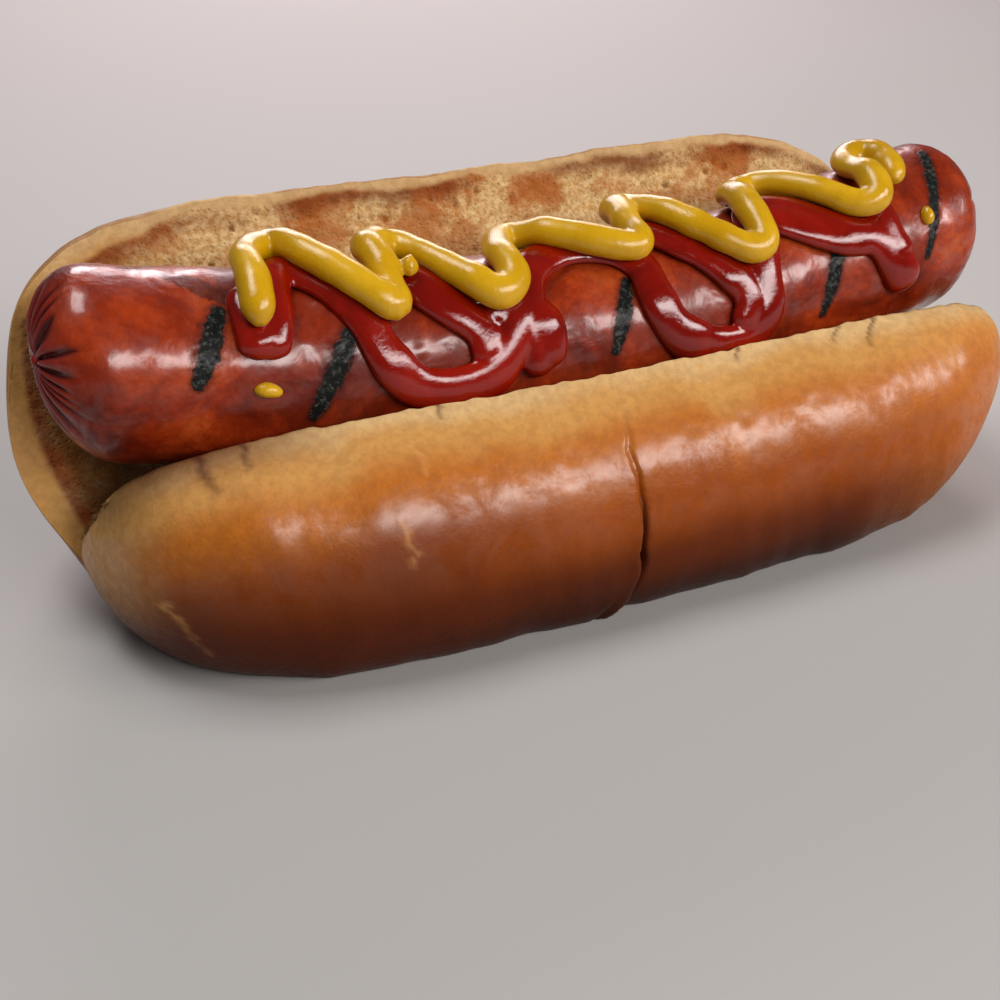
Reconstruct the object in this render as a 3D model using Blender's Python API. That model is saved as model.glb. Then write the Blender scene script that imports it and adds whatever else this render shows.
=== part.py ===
"""A hot dog: a grilled sausage in a split bun, under a zigzag of ketchup and one of mustard.

Metres, +Z up. X runs along the sausage and Y from the front half of the bun to its back half.
The bun rests on the flat spot of its base at z = 0, and the origin is the middle of the
footprint. Every piece is a closed solid of its own, a small gap clear of its neighbours.
"""

import math

import bmesh
import bpy
from mathutils import Vector

# ---- The bun ------------------------------------------------------------------------------
BUN_LENGTH = 0.1520
BUN_STATIONS = 38
BUN_SIDES = 25  # steps from the front lip to the back rim, on the crust and on the cut face
END_BLUNTNESS = 4.6  # a higher power keeps the loaf full for longer before it rounds off
ARM_AT_END = 0.57  # how much of each half's height is left at the very end of the loaf

BUN_BOW = (0.0005, 0.0024)  # how far back and up the ends of both edges lie from their middle
HALVES_SLIP = 0.0064  # how far to the right the front half lies of the back one
FRONT_LIP = (-0.0173, 0.0350)  # (y, z) where the front half's crust meets the cut
BACK_RIM = (0.0268, 0.0546)  # the same on the back half
HINGE = (0.0025, 0.0115)  # the bottom of the cut, where both halves hang together
FRONT_LOBE = {"centre": (-0.0163, 0.0143), "radii": (0.0149, 0.0200)}
BACK_LOBE = {"centre": (0.0192, 0.0296), "radii": (0.0247, 0.0292)}
END_BULGE = (0.0016, 0.0042)  # how far the ends of the front and back half swell lengthwise
BASE_ROUNDING = 0.0020  # how softly the crust turns into the flat spot it rests on

CREASE_X = -0.0045  # a tear across the front half's crust
CREASE_DEPTH = 0.0016
CREASE_WIDTH = 0.0016

# ---- The sausage --------------------------------------------------------------------------
SAUSAGE_LENGTH = 0.1579
SAUSAGE_RADIUS = 0.0140
SAUSAGE_MIDDLE = (0.0, 0.0348)  # (y, z) of its axis at mid length
SAUSAGE_BOW = (0.0037, 0.0088)  # how far its ends lie back and up from the middle
CAP_LENGTH = 0.0100
SAUSAGE_SIDES = 36
SAUSAGE_BODY_RINGS = 16
SAUSAGE_CAP_RINGS = 9
PUCKERS = 9
PUCKER_DEPTH = 0.05
KNOT_RADIUS = 0.0016
KNOT_LENGTH = 0.0012

# ---- The sauces ---------------------------------------------------------------------------
GAP = 0.0004  # between neighbours that touch on the real thing
KETCHUP_WIDTH = 0.0048
KETCHUP_HEIGHT = 0.0021
MUSTARD_WIDTH = 0.0046
MUSTARD_HEIGHT = 0.0042
SAUCE_SIDES = 12
SAUCE_STEP = 0.0014
FUSE_GRID = 0.00045  # strands that meet are fused on a grid this fine
KETCHUP_TRIANGLES = 1800
MUSTARD_TRIANGLES = 1420

# The turns of each strand: place along the sausage in mm, and degrees round it, where 0 is
# the crest and positive leans to the front.
KETCHUP_STRANDS = (
    (
        (-51, 30), (-52, 58), (-51, 68), (-49, 48), (-47, 22), (-44, 4), (-38, 38),
        (-34, 62), (-30, 80), (-24, 85), (-18, 79), (-13, 62), (-11, 36), (-8, 40),
        (-7, 62), (-8, 83),
    ),
    ((-29, 10), (-24, 41), (-20, 65), (-14, 79), (-8, 83)),
    (
        (-11, 26), (-3, 12), (5, 28), (8, 62), (13, 80), (19, 86), (25, 84), (29, 66),
        (31, 36), (32, 8), (36, 12), (42, 48), (49, 65), (54, 80), (57, 94),
    ),
    ((11, -4), (18, 38), (22, 66), (25, 84)),
    ((51, 36), (54, 76)),
)
MUSTARD_STRANDS = (
    (
        (-51, 52), (-49, 30), (-49, 6), (-44, -10), (-40, 14), (-32, 42), (-31, 22),
        (-31, 2), (-26, -6), (-22, 18), (-17, 41), (-13, 36), (-12, 12), (-8, -10),
        (-2, 10), (8, 27), (10, 6), (13, -16), (19, 20), (25, 41), (29, 42), (30, 16),
        (32, -8), (38, -14), (44, 18), (49, 37), (53, 32), (52, 8), (57, -14), (62, -8),
        (60, 10), (57, 26),
    ),
)
# Drops: the same two numbers, then length along and width round the sausage in mm.
MUSTARD_DROPS = ((-50.7, 83, 3.2, 2.1), (62.3, 57, 1.7, 3.1))
DROP_HEIGHT = 0.0011

COLOURS = {
    "bun": ((0.72, 0.42, 0.15), 0.55),
    "sausage": ((0.40, 0.06, 0.02), 0.30),
    "ketchup": ((0.42, 0.01, 0.005), 0.15),
    "mustard": ((0.80, 0.50, 0.03), 0.30),
}


def lerp(a, b, t):
    return a + (b - a) * t


def smooth_path(points, step):
    """Points at about equal steps along the Catmull-Rom curve through the given ones."""
    ends = [2 * points[0] - points[1], *points, 2 * points[-1] - points[-2]]
    fine = []
    for p0, p1, p2, p3 in zip(ends, ends[1:], ends[2:], ends[3:]):
        for i in range(24):
            t = i / 24
            fine.append(
                0.5
                * (
                    2 * p1
                    + (p2 - p0) * t
                    + (2 * p0 - 5 * p1 + 4 * p2 - p3) * t**2
                    + (3 * p1 - p0 - 3 * p2 + p3) * t**3
                )
            )
    fine.append(points[-1])
    lengths = [0.0]
    for a, b in zip(fine, fine[1:]):
        lengths.append(lengths[-1] + (b - a).length)
    count = max(2, round(lengths[-1] / step))
    spaced, j = [], 0
    for i in range(count + 1):
        want = lengths[-1] * i / count
        while j < len(fine) - 2 and lengths[j + 1] < want:
            j += 1
        share = (want - lengths[j]) / (lengths[j + 1] - lengths[j])
        spaced.append(fine[j].lerp(fine[j + 1], min(1.0, share)))
    return spaced


# ---- Sausage ------------------------------------------------------------------------------
def sausage_axis(x):
    """(y, z) of the sausage's bowed axis."""
    bend = (x / (SAUSAGE_LENGTH / 2)) ** 2
    return (
        SAUSAGE_MIDDLE[0] + SAUSAGE_BOW[0] * bend,
        SAUSAGE_MIDDLE[1] + SAUSAGE_BOW[1] * bend,
    )


def sausage_radius(x):
    into_cap = abs(x) - (SAUSAGE_LENGTH / 2 - CAP_LENGTH)
    if into_cap <= 0:
        return SAUSAGE_RADIUS
    return SAUSAGE_RADIUS * math.sqrt(max(0.0, 1 - (into_cap / CAP_LENGTH) ** 2))


def sausage_point(x, degrees, height=0.0):
    """The point at that height over the sausage's skin. 0 degrees is the crest."""
    y, z = sausage_axis(x)
    radius = sausage_radius(x) + height
    angle = math.radians(degrees)
    return Vector((x, y - radius * math.sin(angle), z + radius * math.cos(angle)))


def sausage_stations():
    """Places along the sausage, close together where its caps round off."""
    body = SAUSAGE_LENGTH / 2 - CAP_LENGTH
    middle = [lerp(-body, body, i / SAUSAGE_BODY_RINGS) for i in range(SAUSAGE_BODY_RINGS + 1)]
    turns = [math.pi / 2 * i / SAUSAGE_CAP_RINGS for i in range(1, SAUSAGE_CAP_RINGS)]
    cap = [body + CAP_LENGTH * math.sin(turn) for turn in turns]
    return [-x for x in reversed(cap)] + middle + cap


def sausage_rings():
    """Rings round the axis. Puckers deepen towards each tip, which ends in a small knot."""
    rings = []
    for x in sausage_stations():
        y, z = sausage_axis(x)
        radius = sausage_radius(x)
        tightness = 1 - radius / SAUSAGE_RADIUS
        ring = []
        for i in range(SAUSAGE_SIDES):
            angle = 2 * math.pi * i / SAUSAGE_SIDES
            fold = 0.5 + 0.5 * math.cos(PUCKERS * angle)
            r = radius * (1 - PUCKER_DEPTH * fold * min(1.0, 3 * tightness))
            ring.append(Vector((x, y + r * math.cos(angle), z + r * math.sin(angle))))
        rings.append(ring)
    for side in (-1, 1):
        x = side * (SAUSAGE_LENGTH / 2 + KNOT_LENGTH)
        y, z = sausage_axis(x)
        step = 2 * math.pi / SAUSAGE_SIDES
        knot = [
            Vector((
                x,
                y + KNOT_RADIUS * math.cos(i * step),
                z + KNOT_RADIUS * math.sin(i * step),
            ))
            for i in range(SAUSAGE_SIDES)
        ]
        rings.insert(0 if side < 0 else len(rings), knot)
    return rings


# ---- Bun ----------------------------------------------------------------------------------
def on_arc(lobe, degrees):
    angle = math.radians(degrees)
    return Vector((
        lobe["centre"][0] + lobe["radii"][0] * math.cos(angle),
        lobe["centre"][1] + lobe["radii"][1] * math.sin(angle),
    ))


def crust(u):
    """The crust's outline at mid length: front lip at u = 0, back rim at u = 1."""
    if u < 0.46:
        return on_arc(FRONT_LOBE, lerp(100, 268, u / 0.46))
    if u > 0.54:
        return on_arc(BACK_LOBE, lerp(272, 424, (u - 0.54) / 0.46))
    return on_arc(FRONT_LOBE, 268).lerp(on_arc(BACK_LOBE, 272), (u - 0.46) / 0.08)


def cut_face(u):
    """The outline of the cut: down the front half to the hinge and up the back half."""
    lip, hinge, rim = Vector(FRONT_LIP), Vector(HINGE), Vector(BACK_RIM)
    if u < 0.5:
        t = u / 0.5
        swell = Vector((0.0015, -0.0010)) * math.sin(math.pi * t)
        return lip.lerp(hinge, t) + swell
    t = (u - 0.5) / 0.5
    swell = Vector((0.0030, -0.0015)) * math.sin(math.pi * t)
    return hinge.lerp(rim, t) + swell


def bowed(x, point):
    """Both edges of the bun rise towards its ends, while its base stays flat."""
    bend = (2 * x / BUN_LENGTH) ** 2 * point.y / FRONT_LIP[1]
    return point + Vector(BUN_BOW) * bend


def bun_fullness(x):
    """1 along most of the loaf, falling to 0 as it rounds off at its ends."""
    t = min(1.0, abs(x) / (BUN_LENGTH / 2))
    return (1 - t**END_BLUNTNESS) ** 0.5


def crease(x, u):
    """How deep the tear across the front half's crust is."""
    across = math.exp(-(((x - CREASE_X) / CREASE_WIDTH) ** 2))
    along = math.exp(-(((u - 0.23) / 0.10) ** 2))
    return CREASE_DEPTH * across * along


def clear_of_sausage(x, point):
    """Where the sausage presses into the cut face, the face follows it at a small gap."""
    axis = Vector(sausage_axis(x))
    away = point - axis
    reach = sausage_radius(x) + GAP
    return axis + away.normalized() * reach if away.length < reach else point


def pressed_flat(z):
    """Below a soft turn the crust lies flat on the table."""
    rounded = (z + math.sqrt(z * z + BASE_ROUNDING**2)) / 2
    return max(0.0, rounded - BASE_ROUNDING / 4 * math.exp(-z / BASE_ROUNDING))


def bun_ring(x):
    """One closed section of the bun: along the crust, then back along the cut face."""
    full = bun_fullness(x)
    arm = lerp(ARM_AT_END, 1.0, full)
    outer, inner = [], []
    for i in range(BUN_SIDES + 1):
        u = i / BUN_SIDES
        slid = 0.5 + (u - 0.5) * arm
        face = cut_face(slid)
        closing = (1 - abs(2 * u - 1) ** 9) ** 0.5
        across = crust(slid) - face
        depth = full * closing - crease(x, u) / max(across.length, 0.001)
        skin = bowed(x, face + across * max(0.0, depth))
        swell = END_BULGE[u > 0.5] * math.sin(2 * math.pi * abs(u - 0.5))
        along = x + HALVES_SLIP * (0.5 - u) + swell * (2 * x / BUN_LENGTH) ** 5
        face = clear_of_sausage(along, bowed(x, face))
        skin.y, face.y = pressed_flat(skin.y), pressed_flat(face.y)
        if i in (0, BUN_SIDES):
            skin = face
        outer.append(Vector((along, skin.x, skin.y)))
        inner.append(Vector((along, face.x, face.y)))
    return outer + inner[-2:0:-1]


def bun_stations():
    half = BUN_LENGTH / 2
    regular = [
        half * math.sin(math.pi / 2 * lerp(-1, 1, i / BUN_STATIONS))
        for i in range(BUN_STATIONS + 1)
    ]
    near_crease = [CREASE_X + CREASE_WIDTH * k for k in (-1.6, -0.8, 0.0, 0.8, 1.6)]
    away = [x for x in regular if abs(x - CREASE_X) > 2.4 * CREASE_WIDTH]
    return sorted(away + near_crease)


# ---- Sauces -------------------------------------------------------------------------------
def outwards(p):
    """Straight away from the sausage's axis."""
    y, z = sausage_axis(p.x)
    return Vector((0, p.y - y, p.z - z)).normalized()


def sauce_path(turns, height):
    """A smooth line through the turns of a strand, that far over the sausage's skin."""
    route = smooth_path([Vector((x, degrees * 0.27, 0)) for x, degrees in turns], 0.8)
    return smooth_path(
        [sausage_point(p.x / 1000, p.y / 0.27, height) for p in route], SAUCE_STEP
    )


def lifted_over(path, below, clearance):
    """The path raised smoothly where it crosses the sauce below it."""
    raised = []
    for p in path:
        near = min((p - q).length for q in below)
        share = min(1.0, max(0.0, 2 - near / clearance))
        raised.append(p + outwards(p) * (KETCHUP_HEIGHT + GAP) * share**0.5)
    return raised


def sauce_rings(path, width, height):
    """Oval rings across the path, each lying flat on the sausage, with rounded ends."""
    rings = []
    last = len(path) - 1
    for i, p in enumerate(path):
        along = (path[min(i + 1, last)] - path[max(i - 1, 0)]).normalized()
        up = outwards(p)
        side = along.cross(up).normalized()
        from_end = min(i, last - i) * SAUCE_STEP / (width / 2)
        taper = max(0.25, 1 - (1 - min(1.0, from_end)) ** 2) ** 0.5
        ring = []
        for k in range(SAUCE_SIDES):
            angle = 2 * math.pi * k / SAUCE_SIDES
            across = side * (taper * width / 2 * math.cos(angle))
            ring.append(p + across + up * (taper * height / 2 * math.sin(angle)))
        rings.append(ring)
    return rings


def drop_rings(place, degrees, length, width):
    """Rings of a flattened drop, from its flat side on the skin up to its crown."""
    rings = []
    for lift, spread in ((0, 0.5), (0, 0.88), (0.3, 1), (0.7, 0.85), (0.95, 0.5), (1, 0.15)):
        ring = []
        for k in range(12):
            angle = 2 * math.pi * k / 12
            x = place + spread * length / 2 * math.cos(angle)
            turn = spread * width / 2 * math.sin(angle) / (SAUSAGE_RADIUS * 1000)
            height = GAP + DROP_HEIGHT * lift
            ring.append(sausage_point(x / 1000, degrees + math.degrees(turn), height))
        rings.append(ring)
    return rings


# ---- Building -----------------------------------------------------------------------------
def material(name):
    colour, roughness = COLOURS[name]
    made = bpy.data.materials.new(name)
    made.use_nodes = True
    shader = made.node_tree.nodes["Principled BSDF"]
    shader.inputs["Base Color"].default_value = (*colour, 1)
    shader.inputs["Roughness"].default_value = roughness
    shader.inputs["Metallic"].default_value = 0
    return made


def skin_over(name, rings, close_ends, paint):
    """One closed object from rings of equal length, facing outwards."""
    mesh = bmesh.new()
    loops = [[mesh.verts.new(p) for p in ring] for ring in rings]
    sides = len(rings[0])
    for a, b in zip(loops, loops[1:]):
        for k in range(sides):
            n = (k + 1) % sides
            mesh.faces.new((a[k], a[n], b[n], b[k]))
    if close_ends:
        mesh.faces.new(loops[0])
        mesh.faces.new(loops[-1])
    bmesh.ops.remove_doubles(mesh, verts=mesh.verts, dist=2e-6)
    bmesh.ops.recalc_face_normals(mesh, faces=mesh.faces)
    data = bpy.data.meshes.new(name)
    mesh.to_mesh(data)
    mesh.free()
    data.shade_smooth()
    data.set_sharp_from_angle(angle=math.radians(50))
    data.materials.append(paint)
    made = bpy.data.objects.new(name, data)
    bpy.context.scene.collection.objects.link(made)
    return made


def fused(name, strands, triangles, paint):
    """Strands melted into one body, thinned to about that many triangles."""
    parts = [skin_over(f"{name} strand", rings, True, paint) for rings in strands]
    mesh = bmesh.new()
    for part in parts:
        mesh.from_mesh(part.data)
        bpy.data.objects.remove(part)
    data = bpy.data.meshes.new(name)
    mesh.to_mesh(data)
    mesh.free()
    data.materials.append(paint)
    made = bpy.data.objects.new(name, data)
    bpy.context.scene.collection.objects.link(made)
    melt = made.modifiers.new("melt", "REMESH")
    melt.mode = "VOXEL"
    melt.voxel_size = FUSE_GRID
    melt.use_smooth_shade = True
    bpy.context.view_layer.update()
    whole = made.evaluated_get(bpy.context.evaluated_depsgraph_get())
    thin = made.modifiers.new("thin", "DECIMATE")
    thin.ratio = triangles / (2 * len(whole.data.polygons))
    thin.use_collapse_triangulate = True
    return made


def centre_footprint():
    """Move every piece together, so that the middle of the footprint is the origin."""
    bpy.context.view_layer.update()
    ready = bpy.context.evaluated_depsgraph_get()
    pieces = list(bpy.context.scene.objects)
    points = [v.co for piece in pieces for v in piece.evaluated_get(ready).data.vertices]
    for axis in (0, 1):
        reach = [p[axis] for p in points]
        for piece in pieces:
            piece.location[axis] = -(min(reach) + max(reach)) / 2


def build():
    for old in list(bpy.data.objects):
        bpy.data.objects.remove(old)
    skin_over("bun", [bun_ring(x) for x in bun_stations()], False, material("bun"))
    skin_over("sausage", sausage_rings(), True, material("sausage"))
    red, yellow = material("ketchup"), material("mustard")
    ketchup = [sauce_path(turns, GAP + KETCHUP_HEIGHT / 2) for turns in KETCHUP_STRANDS]
    strands = [sauce_rings(path, KETCHUP_WIDTH, KETCHUP_HEIGHT) for path in ketchup]
    fused("ketchup", strands, KETCHUP_TRIANGLES, red)
    below = [p for path in ketchup for p in path]
    mustard = [sauce_path(turns, GAP + MUSTARD_HEIGHT / 2) for turns in MUSTARD_STRANDS]
    mustard = [lifted_over(path, below, KETCHUP_WIDTH) for path in mustard]
    strands = [sauce_rings(path, MUSTARD_WIDTH, MUSTARD_HEIGHT) for path in mustard]
    fused("mustard", strands, MUSTARD_TRIANGLES, yellow)
    for number, drop in enumerate(MUSTARD_DROPS, 1):
        skin_over(f"mustard_drop_{number}", drop_rings(*drop), True, yellow)
    centre_footprint()


build()
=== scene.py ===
# %% [markdown]
# # A hot dog with ketchup and mustard
#
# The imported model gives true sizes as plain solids. Each solid is replaced here by a piece with
# the detail of the real food: a baked crust over an open crumb, grilled skin with puckered ends,
# and two sauces that lie on it as they were squeezed. All lengths in this lesson are in
# millimetres until a mesh is made, because that is how a baker or a butcher would say them.

# %% Load the frame
import math

import bmesh
import bpy
import numpy as np
from mathutils import Matrix, Vector


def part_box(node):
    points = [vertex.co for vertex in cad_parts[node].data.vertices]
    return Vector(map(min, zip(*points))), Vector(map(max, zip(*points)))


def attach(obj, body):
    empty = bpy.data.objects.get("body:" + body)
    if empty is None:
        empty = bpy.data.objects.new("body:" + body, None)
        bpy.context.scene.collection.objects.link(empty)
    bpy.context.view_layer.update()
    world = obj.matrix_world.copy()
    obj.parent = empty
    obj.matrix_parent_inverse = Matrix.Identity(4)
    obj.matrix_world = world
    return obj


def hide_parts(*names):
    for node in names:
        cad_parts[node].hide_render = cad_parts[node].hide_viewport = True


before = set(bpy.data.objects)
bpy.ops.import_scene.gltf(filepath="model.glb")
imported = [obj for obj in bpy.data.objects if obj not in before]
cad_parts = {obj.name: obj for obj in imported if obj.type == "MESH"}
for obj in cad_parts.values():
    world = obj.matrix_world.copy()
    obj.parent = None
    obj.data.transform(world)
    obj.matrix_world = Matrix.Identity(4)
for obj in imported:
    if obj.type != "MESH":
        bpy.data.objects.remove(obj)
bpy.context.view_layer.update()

# %% [markdown]
# ## Sizes
#
# The shapes below are drawn round the sausage's axis at mid length, as the solids were. The
# model's own origin is the middle of the footprint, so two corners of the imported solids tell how
# far the drawing has to move.

# %% Sizes of the bread and the sausage
BUN_LENGTH = 152.0
BUN_FULLNESS = 4.6
ARM_AT_END = 0.57
BUN_BOW = np.array([0.5, 2.4])
HALVES_SLIP = 6.4
END_BULGE = (1.6, 4.2)
FRONT_LIP = np.array([-17.3, 35.0])
BACK_RIM = np.array([26.8, 54.6])
HINGE = np.array([2.5, 11.5])
FRONT_LOBE = {"centre": (-16.3, 14.3), "radii": (14.9, 20.0)}
BACK_LOBE = {"centre": (19.2, 29.6), "radii": (24.7, 29.2)}
BASE_ROUNDING = 2.0

SAUSAGE_LENGTH = 157.9
SAUSAGE_RADIUS = 14.0
SAUSAGE_MIDDLE = np.array([0.0, 34.8])
SAUSAGE_BOW = np.array([3.7, 8.8])
CAP_LENGTH = 10.0

bun_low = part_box("bun")[0]
sausage_low, sausage_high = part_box("sausage")
SHIFT = np.array([
    500 * (sausage_low[0] + sausage_high[0]),
    1000 * bun_low[1] - (FRONT_LOBE["centre"][0] - FRONT_LOBE["radii"][0]),
    0.0,
])
print("drawing moves by", SHIFT.round(2), "mm")


# %% [markdown]
# ## Small helpers
#
# Shader and geometry trees are long when every node takes four lines. `node` adds one and links
# or sets its inputs at once, and the others are the handful of nodes that come up again and again.

# %% Helpers for node trees
def node(tree, kind, inputs=None, **settings):
    """A new node with its settings made and its inputs linked or set."""
    made = tree.nodes.new(kind)
    for name, value in settings.items():
        setattr(made, name, value)
    for key, value in (inputs or {}).items():
        if isinstance(value, bpy.types.NodeSocket):
            tree.links.new(value, made.inputs[key])
        else:
            made.inputs[key].default_value = value
    return made


def maths(tree, operation, *values, clamp=False):
    """The result of one Math node."""
    inputs = dict(enumerate(values))
    return node(tree, "ShaderNodeMath", inputs, operation=operation, use_clamp=clamp).outputs[0]


def span(tree, value, low, high, to_low=0.0, to_high=1.0):
    """value remapped smoothly from one range to another."""
    inputs = {"Value": value, "From Min": low, "From Max": high}
    inputs |= {"To Min": to_low, "To Max": to_high}
    kind = "SMOOTHSTEP"
    return node(tree, "ShaderNodeMapRange", inputs, interpolation_type=kind).outputs["Result"]


def mix(tree, share, a, b, blend="MIX"):
    """Colour a turning into colour b."""
    inputs = {0: share, 6: a, 7: b}
    settings = {"data_type": "RGBA", "blend_type": blend, "clamp_factor": True}
    return node(tree, "ShaderNodeMix", inputs, **settings).outputs[2]


def ramp(tree, value, *stops):
    """A colour ramp through (place, colour) stops."""
    made = node(tree, "ShaderNodeValToRGB", {"Fac": value})
    made.color_ramp.interpolation = "EASE"
    elements = made.color_ramp.elements
    while len(elements) < len(stops):
        elements.new(0.5)
    for element, (place, colour) in zip(elements, stops):
        element.position, element.color = place, (*colour, 1)
    return made.outputs["Color"]


def noise(tree, where, scale, detail=3.0, rough=0.5, distortion=0.0):
    """Cloudy noise from 0 to 1."""
    inputs = {
        "Vector": where, "Scale": scale, "Detail": detail, "Roughness": rough,
        "Distortion": distortion,
    }
    return node(tree, "ShaderNodeTexNoise", inputs).outputs[0]


def cells(tree, where, scale, feature="F1", spread=1.0):
    """The Voronoi texture, for its Distance and Color."""
    inputs = {"Vector": where, "Scale": scale, "Randomness": spread}
    return node(tree, "ShaderNodeTexVoronoi", inputs, feature=feature)


def srgb(red, green, blue):
    """A screen colour, 0 to 255 each, as the linear values that shaders use."""
    channels = [c / 255 for c in (red, green, blue)]
    return tuple(c / 12.92 if c < 0.04045 else ((c + 0.055) / 1.055) ** 2.4 for c in channels)


def new_group(name, kind, sockets):
    """A node group with (name, direction, type, value) sockets."""
    group = bpy.data.node_groups.new(name, kind)
    for label, direction, socket_type, value in sockets:
        made = group.interface.new_socket(label, in_out=direction, socket_type=socket_type)
        if value is not None:
            made.default_value = value
    return group


print("helpers ready")

# %% [markdown]
# ## From rings to a mesh
#
# Bread and sausage are both drawn as rings along X. A grid of points with a place for every ring
# and every step round it becomes quads, and numbers worked out per point, such as how far it is
# from the lip, are kept as attributes for the trees and materials to read.

# %% Meshes from grids of points
def grid_mesh(name, points, attributes, close_ends):
    """Rings of points as a mesh. points has the shape (rings, steps, 3), in millimetres."""
    rings, steps = points.shape[:2]
    index = np.arange(rings * steps).reshape(rings, steps)
    right = np.roll(index, -1, axis=1)
    quads = np.stack([index[:-1], right[:-1], right[1:], index[1:]], axis=-1).reshape(-1, 4)
    faces = quads.tolist()
    if close_ends:
        faces += [index[0].tolist(), index[-1].tolist()]
    mesh = bpy.data.meshes.new(name)
    mesh.from_pydata(((points + SHIFT) / 1000).reshape(-1, 3).tolist(), [], faces)
    for label, values in attributes.items():
        layer = mesh.attributes.new(label, "FLOAT", "POINT")
        layer.data.foreach_set("value", np.ascontiguousarray(values, dtype=np.float32).ravel())
    work = bmesh.new()
    work.from_mesh(mesh)
    bmesh.ops.remove_doubles(work, verts=work.verts, dist=2e-6)
    bmesh.ops.recalc_face_normals(work, faces=work.faces)
    work.to_mesh(mesh)
    work.free()
    mesh.shade_smooth()
    return mesh


def place(name, mesh):
    """The mesh as an object of the scene."""
    made = bpy.data.objects.new(name, mesh)
    bpy.context.scene.collection.objects.link(made)
    return made


def shaped_by(thing, group, values):
    """The object's mesh as a geometry tree leaves it, with the modifier gone again."""
    modifier = thing.modifiers.new(group.name, "NODES")
    modifier.node_group = group
    for item in group.interface.items_tree:
        if item.name in values:
            modifier[item.identifier] = values[item.name]
    return settled(thing)


def settled(thing):
    """The object with its modifiers turned into plain mesh."""
    ready = bpy.context.evaluated_depsgraph_get()
    mesh = bpy.data.meshes.new_from_object(thing.evaluated_get(ready))
    thing.modifiers.clear()
    old, thing.data = thing.data, mesh
    (bpy.data.meshes if isinstance(old, bpy.types.Mesh) else bpy.data.curves).remove(old)
    mesh.name = thing.name
    print(f"{thing.name}: {len(mesh.vertices)} points, {len(mesh.polygons)} faces")
    return thing


def smoothstep(value, low, high):
    share = np.clip((value - low) / (high - low), 0, 1)
    return share * share * (3 - 2 * share)


def wander(x, seed, wavelength, octaves=3):
    """A smooth random line from about -1 to 1, the same for the same seed."""
    draw = np.random.default_rng(seed)
    total = np.zeros_like(np.asarray(x, dtype=float))
    for octave in range(octaves):
        for _ in range(3):
            length = wavelength * draw.uniform(0.7, 1.4) / 2**octave
            total += np.sin(2 * np.pi * x / length + draw.uniform(0, 6.3)) / (3 * 1.6**octave)
    return total


print("mesh helpers ready")

# %% [markdown]
# ## The sausage's surface
#
# Everything else lies against the sausage, so its axis and radius come first. It bows upwards at
# both ends, as a sausage does that shrank on the grill.

# %% Axis and radius
def sausage_axis(x):
    """y and z of the bowed axis."""
    bend = (2 * x / SAUSAGE_LENGTH) ** 2
    return SAUSAGE_MIDDLE[0] + SAUSAGE_BOW[0] * bend, SAUSAGE_MIDDLE[1] + SAUSAGE_BOW[1] * bend


def sausage_radius(x):
    into_cap = np.clip((abs(x) - (SAUSAGE_LENGTH / 2 - CAP_LENGTH)) / CAP_LENGTH, 0, 1)
    return SAUSAGE_RADIUS * np.sqrt(1 - into_cap**2)


def on_sausage(x, degrees, height):
    """The point that far over the skin. 0 degrees is the crest, positive leans to the front."""
    y, z = sausage_axis(x)
    reach = sausage_radius(x) + height
    turn = np.radians(degrees)
    return np.stack([x, y - reach * np.sin(turn), z + reach * np.cos(turn)], axis=-1)


heights = [round(float(sausage_axis(x)[1]), 1) for x in (0, SAUSAGE_LENGTH / 2)]
print("axis height in the middle and at an end:", heights, "mm")


# %% [markdown]
# ## The bun
#
# A hot dog bun is one loaf, cut along its length so that two halves hang together at a hinge. A
# section across it is a crust outline and a cut outline that meet at the front lip and the back
# rim. Both outlines are worked out for every station along the loaf, and the crust sinks onto the
# cut where the loaf ends.

# %% Outlines across the bun
def on_arc(lobe, degrees):
    turn = np.radians(degrees)
    y = lobe["centre"][0] + lobe["radii"][0] * np.cos(turn)
    z = lobe["centre"][1] + lobe["radii"][1] * np.sin(turn)
    return np.stack([y, z], axis=-1)


def crust_outline(u):
    """From the front lip at u = 0 round the loaf to the back rim at u = 1."""
    front = on_arc(FRONT_LOBE, 100 + 168 * np.clip(u / 0.46, 0, 1))
    back = on_arc(BACK_LOBE, 272 + 152 * np.clip((u - 0.54) / 0.46, 0, 1))
    share = np.clip((u - 0.46) / 0.08, 0, 1)[..., None]
    return front * (1 - share) + back * share


def cut_outline(u):
    """From the front lip down to the hinge, and up to the back rim."""
    down = np.clip(u / 0.5, 0, 1)[..., None]
    up = np.clip((u - 0.5) / 0.5, 0, 1)[..., None]
    front = FRONT_LIP * (1 - down) + HINGE * down + np.array([1.5, -1.0]) * np.sin(np.pi * down)
    back = HINGE * (1 - up) + BACK_RIM * up + np.array([3.0, -1.5]) * np.sin(np.pi * up)
    return np.where((u < 0.5)[..., None], front, back)


def bowed(x, point):
    """Both edges of the bun rise towards its ends, while its base stays flat."""
    bend = (2 * x / BUN_LENGTH) ** 2 * point[..., 1] / FRONT_LIP[1]
    return point + BUN_BOW * bend[..., None]


def pressed_flat(z):
    """Below a soft turn the crust lies flat on the table."""
    rounded = (z + np.sqrt(z * z + BASE_ROUNDING**2)) / 2
    return np.maximum(0, rounded - BASE_ROUNDING / 4 * np.exp(-z / BASE_ROUNDING))


print("lip to rim:", round(float(np.linalg.norm(BACK_RIM - FRONT_LIP)), 1), "mm")


# %% [markdown]
# ### The tear
#
# The front half has split across its crust: a closed crease runs down from the lip, opens into a
# short dark slit with one side lying over the other, and ends in a slanting step low down. A table
# of three facts per height is enough: where the tear runs, how deep it is and how high the step.

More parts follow.
